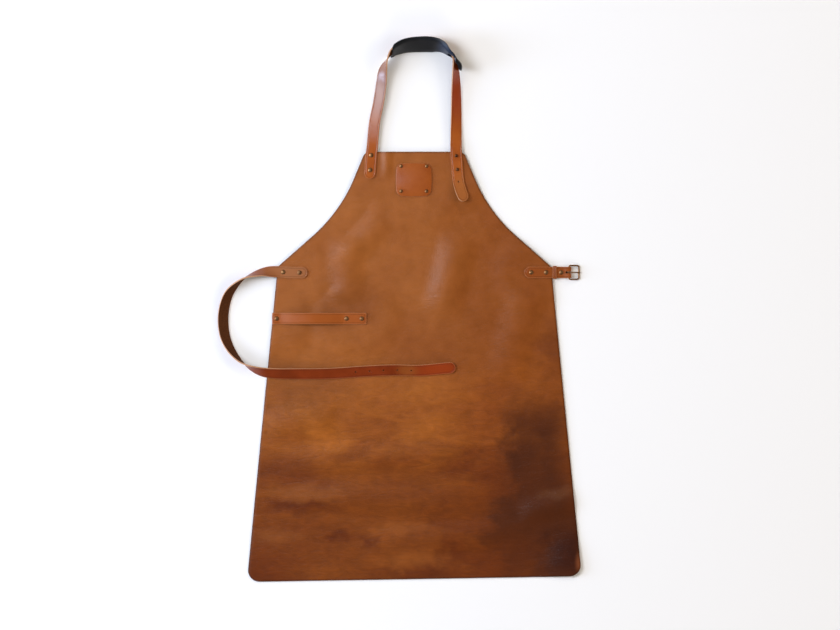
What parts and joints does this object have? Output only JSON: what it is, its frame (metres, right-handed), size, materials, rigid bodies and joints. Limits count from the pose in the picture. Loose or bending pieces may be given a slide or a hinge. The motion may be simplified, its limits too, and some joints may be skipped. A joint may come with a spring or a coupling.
{
  "type": "leather work apron",
  "caption": "Leather bib apron lying on its back, with a padded neck strap, a bare patch, a towel loop, a waist strap with punched holes and a small buckle at the hip.",
  "frame": {"origin": "middle of the hide's back face, on the surface that the apron lies on", "axes": "+Y from the hem to the neck, +X to the right of someone who looks at the front, +Z out of the front"},
  "size_m": [0.6779, 1.0195, 0.0373],
  "materials": {
    "hide": "waxed, soft sheen",
    "strap_leather": "smooth, burnished edges",
    "pad_leather": "black, fine grain",
    "brass": "antiqued",
    "dark_brass": "dark antiqued"
  },
  "bodies": {
    "apron": {"apron_body": "hide", "neck_strap": "strap_leather", "neck_pad": "pad_leather", "badge_patch": "strap_leather", "waist_strap": "strap_leather", "towel_loop": "strap_leather", "buckle_tab": "strap_leather", "strap_keeper": "strap_leather", "neck_rivet_1": "brass", "neck_rivet_2": "brass", "neck_stud_1": "dark_brass", "neck_stud_2": "dark_brass", "patch_rivet_1": "brass", "patch_rivet_2": "brass", "patch_rivet_3": "brass", "patch_rivet_4": "brass", "waist_rivet_1": "brass", "waist_rivet_2": "brass", "loop_rivet_1": "brass", "loop_rivet_2": "brass", "loop_rivet_3": "brass", "tab_rivet_1": "brass", "tab_rivet_2": "brass", "tab_rivet_3": "brass"},
    "buckle_frame": {"buckle_frame": "brass"},
    "buckle_prong": {"buckle_prong": "brass"}
  },
  "joints": [
    {"name": "frame_swing", "type": "hinge", "parent": "apron", "child": "buckle_frame", "pos_m": [0.289, 0.174, 0.0044], "axis": [0, -1, 0], "range_deg": [-90, 60]},
    {"name": "prong_swing", "type": "hinge", "parent": "buckle_frame", "child": "buckle_prong", "pos_m": [0.289, 0.174, 0.0044], "axis": [0, -1, 0], "range_deg": [0, 70]}
  ]
}
